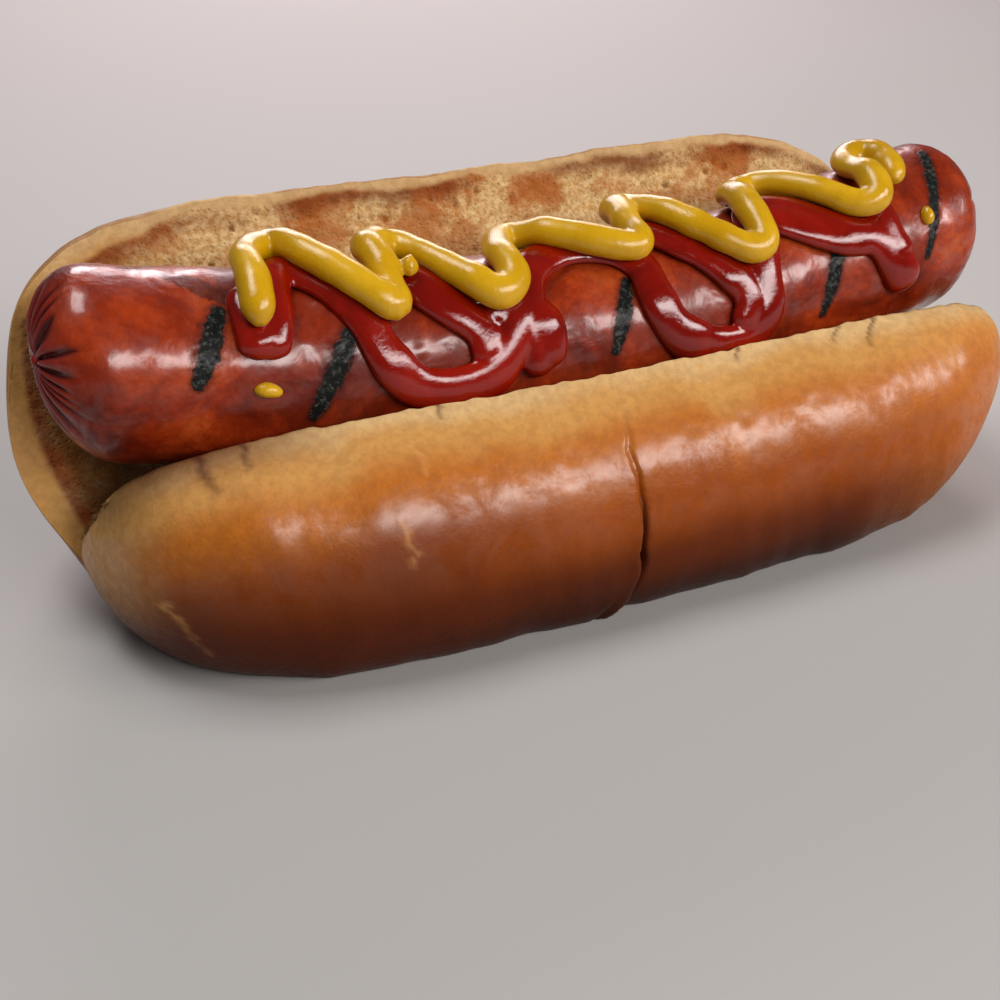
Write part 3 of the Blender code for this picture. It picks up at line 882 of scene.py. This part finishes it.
# %% A tree for grilled skin
def skin_tree():
    group = new_group("grilled skin", "GeometryNodeTree", [
        ("Geometry", "INPUT", "NodeSocketGeometry", None),
        ("Wrinkles", "INPUT", "NodeSocketFloat", 0.0001),
        ("Blisters", "INPUT", "NodeSocketFloat", 0.0002),
        ("Char Crust", "INPUT", "NodeSocketFloat", 0.0003),
        ("Material", "INPUT", "NodeSocketMaterial", None),
        ("Geometry", "OUTPUT", "NodeSocketGeometry", None),
    ])
    given = node(group, "NodeGroupInput").outputs
    where = node(group, "GeometryNodeInputPosition").outputs[0]
    normal = node(group, "GeometryNodeInputNormal").outputs[0]

    def stored(name):
        made = node(group, "GeometryNodeInputNamedAttribute", {"Name": name}, data_type="FLOAT")
        return made.outputs["Attribute"]

    char, cap = stored("char"), stored("cap")
    stretched = node(group, "ShaderNodeVectorMath", {0: where, 1: (1.0, 0.45, 0.45)},
                     operation="MULTIPLY").outputs[0]
    fine = maths(group, "SUBTRACT", noise(group, stretched, 620.0, 3.0, 0.55, 0.8), 0.5)
    wrinkles = maths(group, "MULTIPLY", fine, given["Wrinkles"])
    blister = cells(group, where, 300.0, "SMOOTH_F1")
    lucky = node(group, "FunctionNodeSeparateColor", {"Color": blister.outputs["Color"]})
    lucky = lucky.outputs[0]
    dome = span(group, blister.outputs["Distance"], 0.0, 0.45, 1.0, 0.0)
    dome = maths(group, "MULTIPLY", dome, span(group, lucky, 0.6, 0.9))
    dome = maths(group, "MULTIPLY", dome, given["Blisters"])
    ash = maths(group, "SUBTRACT", noise(group, where, 1100.0, 3.0, 0.7), 0.45)
    crust = maths(group, "MULTIPLY", maths(group, "MULTIPLY", ash, span(group, char, 0.2, 0.6)),
                  given["Char Crust"])
    calm = maths(group, "SUBTRACT", 1.0, maths(group, "MULTIPLY", cap, 0.7))
    height = maths(group, "MULTIPLY", maths(group, "ADD", wrinkles, dome), calm)
    height = maths(group, "ADD", height, crust)
    offset = node(group, "ShaderNodeVectorMath", {0: normal, "Scale": height}, operation="SCALE")
    moved = {"Geometry": given["Geometry"], "Offset": offset.outputs[0]}
    moved = node(group, "GeometryNodeSetPosition", moved).outputs[0]
    moved = node(group, "GeometryNodeRealizeInstances", {0: moved}).outputs[0]
    dressed = {"Geometry": moved, "Material": given["Material"]}
    node(group, "NodeGroupOutput", {0: node(group, "GeometryNodeSetMaterial", dressed).outputs[0]})
    return group


SKIN_TREE = skin_tree()
print("grilled skin:", len(SKIN_TREE.nodes), "nodes")

# %% [markdown]
# ### Colours of the skin
#
# Red-brown in clouds, with painted shade in the folds and a pinker tint on the caps that is partly
# redder skin and partly painted reflection, browned in a halo round each grill mark and ashen
# black inside it. The fat that sweats out is a clear coat in patches; none lies on the char.

# %% Sausage material
def sausage_material():
    made, tree, shader = new_material("grilled_sausage", **{
        "Specular IOR Level": 0.16, "Subsurface Weight": 0.04, "Subsurface Scale": 0.001,
        "Subsurface Radius": (1.0, 0.3, 0.1), "Coat Roughness": 0.17,
    })
    where = node(tree, "ShaderNodeTexCoord").outputs["Object"]
    fold, cap = attribute(tree, "fold"), attribute(tree, "cap")
    clouds = use(tree, MOTTLE, Scale=75.0, Specks=800.0)
    skin = ramp(
        tree, clouds["Clouds"],
        (0.0, srgb(88, 20, 4)), (0.45, srgb(126, 36, 8)), (0.8, srgb(154, 52, 14)),
        (1.0, srgb(172, 70, 24)),
    )
    skin = mix(tree, maths(tree, "MULTIPLY", clouds["Grain"], 0.25), skin, (*srgb(84, 16, 6), 1))
    # The caps turn pinker: partly redder skin, partly painted reflection.
    skin = mix(tree, span(tree, cap, 0.2, 0.8, 0.0, 0.8), skin, (*srgb(132, 38, 36), 1))
    # Painted shade in the folds of the caps.
    skin = mix(tree, span(tree, fold, 0.05, 0.5, 0.0, 0.85), skin, (*srgb(56, 6, 6), 1))
    grilled = use(tree, GRILLED, Amount=attribute(tree, "char"), Raggedness=0.42)
    scorched = use(tree, GRILLED, Amount=attribute(tree, "scorch"), Raggedness=0.5)
    brown = maths(tree, "MAXIMUM", grilled["Halo"], scorched["Char"])
    skin = mix(tree, maths(tree, "MULTIPLY", brown, 0.7), skin, (*srgb(52, 10, 6), 1))
    specks = span(tree, noise(tree, where, 1500.0, 3.0, 0.7), 0.5, 0.68)
    ash = mix(tree, specks, (*srgb(5, 5, 5), 1), (*srgb(62, 66, 60), 1))
    skin = mix(tree, grilled["Char"], skin, ash)
    tree.links.new(skin, shader.inputs["Base Color"])
    smear = noise(tree, where, 210.0, 4.0, 0.62)
    rough = span(tree, smear, 0.3, 0.7, 0.26, 0.5)
    rough = maths(tree, "ADD", rough, maths(tree, "MULTIPLY", grilled["Char"], 0.3), clamp=True)
    tree.links.new(rough, shader.inputs["Roughness"])
    fat = span(tree, noise(tree, where, 150.0, 5.0, 0.65, 0.8), 0.40, 0.60, 0.05, 0.85)
    dry = maths(tree, "SUBTRACT", 1.0, maths(tree, "MULTIPLY", grilled["Halo"], 0.85))
    dry = maths(tree, "MULTIPLY", dry, span(tree, cap, 0.1, 0.7, 1.0, 0.45))
    tree.links.new(maths(tree, "MULTIPLY", fat, dry), shader.inputs["Coat Weight"])
    stretched = node(tree, "ShaderNodeMapping", {"Vector": where, "Scale": (1.0, 0.4, 0.4)})
    wrinkles = noise(tree, stretched.outputs[0], 1000.0, 4.0, 0.6, 1.0)
    sags = noise(tree, where, 260.0, 3.0, 0.55, 0.5)
    ash_bump = maths(tree, "MULTIPLY", noise(tree, where, 2200.0, 3.0, 0.7), grilled["Char"])
    relief = maths(tree, "ADD", maths(tree, "MULTIPLY", wrinkles, 0.35), ash_bump)
    relief = maths(tree, "ADD", relief, maths(tree, "MULTIPLY", sags, 1.4))
    tree.links.new(bump(tree, relief, 0.6, 0.0003), shader.inputs["Normal"])
    return made


CASING = sausage_material()
sausage = shaped_by(place("sausage_casing", sausage_mesh), SKIN_TREE, {
    "Wrinkles": 0.00016, "Blisters": 0.00016, "Char Crust": 0.0007, "Material": CASING,
})

# %% [markdown]
# ## The sauces
#
# A squeeze bottle lays a round strand that follows the hand. A geometry tree sweeps a profile
# along the path, flat side to the sausage, and swells it where the hand slowed down. Strands that
# cross are then melted together on a fine grid and smoothed, as sauce levels itself.

# %% Paths of the strands
KETCHUP_STRANDS = (
    ((-51, 22), (-50.6, 45), (-50.4, 66)),
    (
        (-50.4, 66), (-48.8, 50), (-47.3, 26), (-44, 6), (-38, 24), (-35.5, 44), (-34, 64),
        (-30.5, 83), (-25, 89), (-19, 84), (-15, 68), (-12, 50), (-11, 66), (-11, 88),
    ),
    ((-29, 8), (-24, 36), (-19, 58), (-18, 78)),
    ((-18, 40), (-13, 52), (-9.5, 60), (-9, 84)),
    (
        (-11, 52), (-9, 26), (-3, 12), (4, 14), (9, 32), (10, 55), (12.5, 76), (18, 91),
        (25, 93), (29, 76), (29.5, 50), (31, 26), (34, 12), (39, 22), (45, 46), (51, 58),
        (54.5, 78), (57.3, 97),
    ),
    ((11, -4), (18, 24), (23, 48), (26, 70), (24, 88)),
    ((33, 14), (38, 32), (44, 48), (51, 58)),
    ((53, 30), (53.5, 52), (55, 78)),
)
MUSTARD_STRANDS = (
    (
        (-51, 52), (-50, 30), (-49, 6), (-44, -10), (-40, 14), (-32, 43), (-31, 22),
        (-31, 2), (-26, -6), (-22, 18), (-17, 41), (-13, 36), (-12, 12), (-8, -10),
        (-2, 10), (8, 28), (10, 6), (13, -16), (19, 20), (25, 41), (29, 42), (30, 16),
        (32, -8), (38, -14), (44, 18), (48.5, 36), (52, 36), (53, 20), (53.3, 4),
        (55.0, -6), (58.0, -6), (59.6, 4), (59, 18), (57.6, 31),
    ),
    ((-28.2, 20), (-27.2, 23), (-26.2, 23)),
)
MM_PER_DEGREE = 0.27


def smooth_line(points, step):
    """Points at even steps along the Catmull-Rom curve through the given ones."""
    p = np.array(points, dtype=float)
    p = np.concatenate([2 * p[:1] - p[1:2], p, 2 * p[-1:] - p[-2:-1]])
    t = np.linspace(0, 1, 40, endpoint=False)[:, None]
    pieces = [
        0.5 * (2 * b + (c - a) * t + (2 * a - 5 * b + 4 * c - d) * t**2
               + (3 * b - a - 3 * c + d) * t**3)
        for a, b, c, d in zip(p, p[1:], p[2:], p[3:])
    ]
    fine = np.concatenate([*pieces, p[-2:-1]])
    run = np.concatenate([[0], np.cumsum(np.linalg.norm(np.diff(fine, axis=0), axis=1))])
    even = np.linspace(0, run[-1], max(2, round(run[-1] / step)) + 1)
    return np.stack([np.interp(even, run, fine[:, k]) for k in range(fine.shape[1])], axis=-1)


def strand_path(turns, height):
    route = smooth_line([(x, degrees * MM_PER_DEGREE) for x, degrees in turns], 0.4)
    return smooth_line(on_sausage(route[:, 0], route[:, 1] / MM_PER_DEGREE, height), 0.5)


def straight_out(path):
    y, z = sausage_axis(path[:, 0])
    out = np.stack([0 * y, path[:, 1] - y, path[:, 2] - z], axis=-1)
    return out / np.linalg.norm(out, axis=1, keepdims=True)


def lifted_over(path, below, rise, width):
    """The path rises where it crosses the sauce below, and sinks back a little later."""
    near = np.array([np.min(np.linalg.norm(below - p, axis=1)) for p in path])
    share = smoothstep(near, width * 1.25, width * 0.55)
    kernel = np.hanning(13) / np.hanning(13).sum()
    share = np.convolve(np.pad(share, 6, mode="edge"), kernel, mode="valid")
    return path + straight_out(path) * (rise * share)[:, None]


print("strands:", len(KETCHUP_STRANDS), "of ketchup,", len(MUSTARD_STRANDS), "of mustard")


# %% [markdown]
# ### From a path to a strand
#
# The tree sweeps a round profile with a flattened underside along each path. A row of balls
# would look like beads; a swept profile keeps the smooth run of a squeezed strand.

# %% A tree for squeezed sauce
def sauce_tree():
    group = new_group("squeezed sauce", "GeometryNodeTree", [
        ("Geometry", "INPUT", "NodeSocketGeometry", None),
        ("Width", "INPUT", "NodeSocketFloat", 0.005),
        ("Height", "INPUT", "NodeSocketFloat", 0.004),
        ("Flat Side", "INPUT", "NodeSocketFloat", 0.4),
        ("Material", "INPUT", "NodeSocketMaterial", None),
        ("Geometry", "OUTPUT", "NodeSocketGeometry", None),
    ])
    given = node(group, "NodeGroupInput").outputs

    def stored(name, kind):
        made = node(group, "GeometryNodeInputNamedAttribute", {"Name": name}, data_type=kind)
        return made.outputs["Attribute"]

    line = node(group, "GeometryNodeMeshToCurve", {0: given["Geometry"]}).outputs[0]
    upright = {"Curve": line, "Normal": stored("up", "FLOAT_VECTOR")}
    line = node(group, "GeometryNodeSetCurveNormal", upright, mode="FREE").outputs[0]
    circle = {"Resolution": 24, "Radius": 0.5}
    circle = node(group, "GeometryNodeCurvePrimitiveCircle", circle, mode="RADIUS").outputs[0]
    spot = node(group, "GeometryNodeInputPosition").outputs[0]
    parts = node(group, "ShaderNodeSeparateXYZ", {"Vector": spot}).outputs
    under = maths(group, "LESS_THAN", parts["Y"], 0.0)
    flat = maths(group, "SUBTRACT", 1.0, given["Flat Side"])
    squash = maths(group, "SUBTRACT", 1.0, maths(group, "MULTIPLY", under, flat))
    across = maths(group, "MULTIPLY", parts["X"], given["Width"])
    tall = maths(group, "MULTIPLY", squash, given["Height"])
    upward = maths(group, "MULTIPLY", parts["Y"], tall)
    shape = node(group, "ShaderNodeCombineXYZ", {"X": upward, "Y": across, "Z": 0.0}).outputs[0]
    profile = node(group, "GeometryNodeSetPosition", {"Geometry": circle, "Position": shape})
    swell = stored("swell", "FLOAT")
    sweep = {"Curve": line, "Profile Curve": profile.outputs[0], "Scale": swell, "Fill Caps": True}
    bead = node(group, "GeometryNodeCurveToMesh", sweep).outputs[0]
    bead = node(group, "GeometryNodeRealizeInstances", {0: bead}).outputs[0]
    dressed = {"Geometry": bead, "Material": given["Material"]}
    node(group, "NodeGroupOutput", {0: node(group, "GeometryNodeSetMaterial", dressed).outputs[0]})
    return group


SAUCE = sauce_tree()
print("squeezed sauce:", len(SAUCE.nodes), "nodes")


# %% [markdown]
# ### Strands melted together
#
# Where strands meet, real sauce merges. All strands of one sauce are laid first, then rebuilt
# as one skin on a fine grid and relaxed. The bottle pauses where the hand turns, so the strand
# swells there, and it tapers where the squeeze starts and stops.

# %% Strands melted together
def sauce(name, paths, swells, width, height, flat, material, grid, relax):
    """Strands swept along their paths, melted into one body and relaxed."""
    points = np.concatenate(paths)
    starts = np.cumsum([0] + [len(path) for path in paths])
    edges = [(i, i + 1) for a, b in zip(starts, starts[1:]) for i in range(a, b - 1)]
    mesh = bpy.data.meshes.new(name)
    mesh.from_pydata(((points + SHIFT) / 1000).tolist(), edges, [])
    up = mesh.attributes.new("up", "FLOAT_VECTOR", "POINT")
    up.data.foreach_set("vector", np.concatenate([straight_out(p) for p in paths]).ravel())
    swell = mesh.attributes.new("swell", "FLOAT", "POINT")
    swell.data.foreach_set("value", np.concatenate(swells))
    thing = shaped_by(place(name, mesh), SAUCE, {
        "Width": width / 1000, "Height": height / 1000, "Flat Side": flat, "Material": material,
    })
    melt = thing.modifiers.new("melt", "REMESH")
    melt.mode, melt.voxel_size, melt.use_smooth_shade = "VOXEL", grid / 1000, True
    level = thing.modifiers.new("level", "SMOOTH")
    level.factor, level.iterations = 0.5, relax
    return settled(thing)


def end_taper(count, length, least):
    """1 along a strand, rounding off to least at both ends over so many points."""
    from_end = np.minimum(np.arange(count), np.arange(count)[::-1]) / length
    return np.maximum(least, np.sqrt(1 - (1 - np.clip(from_end, 0, 1)) ** 2))


def slow_bends(path, extra):
    """The hand slows where it turns, so more sauce lands there."""
    ahead, behind = np.roll(path, -6, axis=0) - path, path - np.roll(path, 6, axis=0)
    cosine = np.sum(ahead * behind, axis=1)
    cosine /= np.linalg.norm(ahead, axis=1) * np.linalg.norm(behind, axis=1) + 1e-9
    bent = np.clip(1 - cosine, 0, 1.2)
    bent[:6] = bent[-6:] = 0
    kernel = np.hanning(15) / np.hanning(15).sum()
    return 1 + extra * np.convolve(np.pad(bent, 7, mode="edge"), kernel, mode="valid")


print("sauce helpers ready")


# %% [markdown]
# ### Sauce colours
#
# Both sauces are wet and a little see-through, so light sinks in and softens their shadows.
# Ketchup is the glossier one; mustard holds ground seed and shines more softly.

# %% Sauce materials
def ketchup_material():
    made, tree, shader = new_material("ketchup", **{
        "Specular IOR Level": 0.5, "Subsurface Weight": 0.08, "Subsurface Scale": 0.001,
        "Subsurface Radius": (1.0, 0.08, 0.03),
    })
    clouds = use(tree, MOTTLE, Scale=90.0, Specks=1500.0)
    red = mix(tree, clouds["Clouds"], (*srgb(108, 7, 0), 1), (*srgb(140, 18, 3), 1))
    tree.links.new(red, shader.inputs["Base Color"])
    tree.links.new(span(tree, clouds["Clouds"], 0.0, 1.0, 0.07, 0.14), shader.inputs["Roughness"])
    tree.links.new(bump(tree, clouds["Grain"], 0.12, 0.0001), shader.inputs["Normal"])
    return made


def mustard_material():
    made, tree, shader = new_material("mustard", **{
        "Specular IOR Level": 0.5, "Subsurface Weight": 0.15, "Subsurface Scale": 0.002,
        "Subsurface Radius": (1.0, 0.6, 0.1),
    })
    clouds = use(tree, MOTTLE, Scale=110.0, Specks=1800.0)
    yellow = mix(tree, clouds["Clouds"], (*srgb(184, 138, 4), 1), (*srgb(204, 158, 18), 1))
    tree.links.new(yellow, shader.inputs["Base Color"])
    tree.links.new(span(tree, clouds["Clouds"], 0.0, 1.0, 0.14, 0.24), shader.inputs["Roughness"])
    tree.links.new(bump(tree, clouds["Grain"], 0.2, 0.0001), shader.inputs["Normal"])
    return made


RED, YELLOW = ketchup_material(), mustard_material()
print("sauces:", RED.name, "and", YELLOW.name)

# %% [markdown]
# ### Ketchup
#
# Ketchup went on first, in strands that cross and merge, so it lies straight on the skin.

# %% Ketchup
ketchup_paths = [strand_path(turns, 0.5) for turns in KETCHUP_STRANDS]
ketchup_swells = [
    end_taper(len(path), 5, 0.3) * slow_bends(path, 0.15)
    * (1.0 + 0.12 * wander(np.arange(len(path)), 41 + i, 50))
    for i, path in enumerate(ketchup_paths)
]
ketchup = sauce(
    "ketchup_zigzag", ketchup_paths, ketchup_swells, 6.4, 3.7, 0.35, RED, 0.24, 10
)

# %% [markdown]
# ### Mustard
#
# One mustard strand rises wherever it crosses the ketchup and sinks back to the skin after it.

# %% Mustard
ketchup_points = np.concatenate(ketchup_paths)
mustard_paths = [
    lifted_over(strand_path(turns, 2.0), ketchup_points, 1.7, 4.8) for turns in MUSTARD_STRANDS
]
mustard_swells = [
    end_taper(len(path), 7, 0.3) * slow_bends(path, 0.16)
    * (1.0 + 0.09 * wander(np.arange(len(path)), 51 + i, 40))
    for i, path in enumerate(mustard_paths)
]
mustard = sauce(
    "mustard_zigzag", mustard_paths, mustard_swells, 4.7, 4.6, 0.85, YELLOW, 0.24, 4
)

# %% [markdown]
# ## Stray drops
#
# Two drops of mustard fell beside the strand. Each is a low dome that follows the skin, with its
# edge drawn in underneath.

# %% Mustard drops
MUSTARD_DROPS = ((-50.7, 83, 3.6, 2.5, 1.3), (62.3, 57, 2.1, 3.6, 1.3))


def drop_mesh(name, place_x, degrees, length, width, height):
    turn = np.linspace(0, 2 * np.pi, 48, endpoint=False)
    rise = np.radians(np.linspace(-50, 84, 26))
    grid_rise, grid_turn = np.meshgrid(rise, turn, indexing="ij")
    out = np.cos(grid_rise) * (1 + 0.07 * np.sin(2 * grid_turn + 1) + 0.05 * np.sin(3 * grid_turn))
    lift = np.where(grid_rise > 0, np.sin(grid_rise) * height, np.sin(grid_rise) * 0.35)
    x = place_x + out * length / 2 * np.cos(grid_turn)
    around = degrees + out * width / 2 * np.sin(grid_turn) / MM_PER_DEGREE
    points = on_sausage(x, around, 0.1 + lift)
    mesh = grid_mesh(name, points, {}, close_ends=True)
    mesh.materials.append(YELLOW)
    return mesh


drops = [
    place(f"mustard_drop_shape_{i}", drop_mesh(f"mustard_drop_shape_{i}", *drop))
    for i, drop in enumerate(MUSTARD_DROPS, 1)
]
print("drops:", [len(drop.data.polygons) for drop in drops])

# %% [markdown]
# ## Joining the frame
#
# Each piece stands for its solid and rides on the one body.

# %% Pieces and their solids
PIECES = (
    (bun, "bun", "bun"), (sausage, "sausage", "sausage"), (ketchup, "ketchup", "ketchup"),
    (mustard, "mustard", "mustard"), (drops[0], "mustard_drop_1", "mustard"),
    (drops[1], "mustard_drop_2", "mustard"),
)
for piece, solid, finish in PIECES:
    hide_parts(solid)
    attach(piece, "root")
print("pieces:", ", ".join(piece.name for piece, _, _ in PIECES))

# %% [markdown]
# ## Studio
#
# A pale table, a long softbox low in front that draws the bright band along the sausage, a
# smaller one overhead for the glints on the sauces, and a rim light from behind.

# %% Floor, lights and world
def pale_floor():
    made, tree, shader = new_material("pale_table", Roughness=0.75)
    shader.inputs["Base Color"].default_value = (0.42, 0.405, 0.39, 1)
    bpy.ops.mesh.primitive_plane_add(size=4)
    floor = bpy.context.object
    floor.name = "table_top"
    floor.data.materials.append(made)


def softbox(name, direction, distance, size, power, colour=(1, 1, 1)):
    """A rectangular light that faces the food."""
    light = bpy.data.lights.new(name, "AREA")
    light.shape, light.size, light.size_y = "RECTANGLE", *size
    light.energy, light.color = power, colour
    made = place(name, light)
    aim = Vector((0, 0, 0.03))
    made.location = aim + Vector(direction).normalized() * distance
    made.rotation_euler = (aim - made.location).to_track_quat("-Z", "Y").to_euler()


pale_floor()
softbox("front_softbox", (0.45, -0.80, 0.46), 0.9, (1.0, 0.21), 9.0, (1.0, 0.96, 0.94))
softbox("top_softbox", (-0.25, 0.15, 1.0), 0.9, (0.5, 0.3), 4.5)
softbox("rim_softbox", (0.3, 0.9, 0.45), 0.9, (0.6, 0.3), 4.5, (1.0, 0.86, 0.90))
world = bpy.data.worlds.new("studio")
bpy.context.scene.world = world
world.use_nodes = True
world.node_tree.nodes["Background"].inputs["Color"].default_value = (1.0, 0.98, 0.97, 1)
world.node_tree.nodes["Background"].inputs["Strength"].default_value = 0.09
bpy.context.scene.view_settings.view_transform = "Standard"
print("lights:", ", ".join(light.name for light in bpy.data.lights))

# %% [markdown]
# ## Camera
#
# It stands to the front left and a little above, close enough to make the near end larger.

# %% Camera
CAMERA_AZIMUTH, CAMERA_ELEVATION, CAMERA_ROLL = -25.6, 28.0, -0.25
CAMERA_TARGET, CAMERA_DISTANCE = Vector((-0.0095, -0.0062, 0.0081)), 0.2349
turn, rise = math.radians(CAMERA_AZIMUTH), math.radians(CAMERA_ELEVATION)
back = Vector((math.sin(turn) * math.cos(rise), -math.cos(turn) * math.cos(rise), math.sin(rise)))
camera_data = bpy.data.cameras.new("camera")
camera_data.lens, camera_data.sensor_width, camera_data.clip_start = 52.27, 36, 0.01
camera = place("camera", camera_data)
aimed = back.to_track_quat("Z", "Y").to_matrix().to_4x4()
rolled = Matrix.Rotation(math.radians(CAMERA_ROLL), 4, "Z")
camera.matrix_world = Matrix.Translation(CAMERA_TARGET + back * CAMERA_DISTANCE) @ aimed @ rolled
bpy.context.scene.camera = camera
print("camera", CAMERA_DISTANCE * 1000, "mm away")

# %% [markdown]
# ## Update
#
# The view layer is brought up to date.

# %% Update the view layer
bpy.context.view_layer.update()
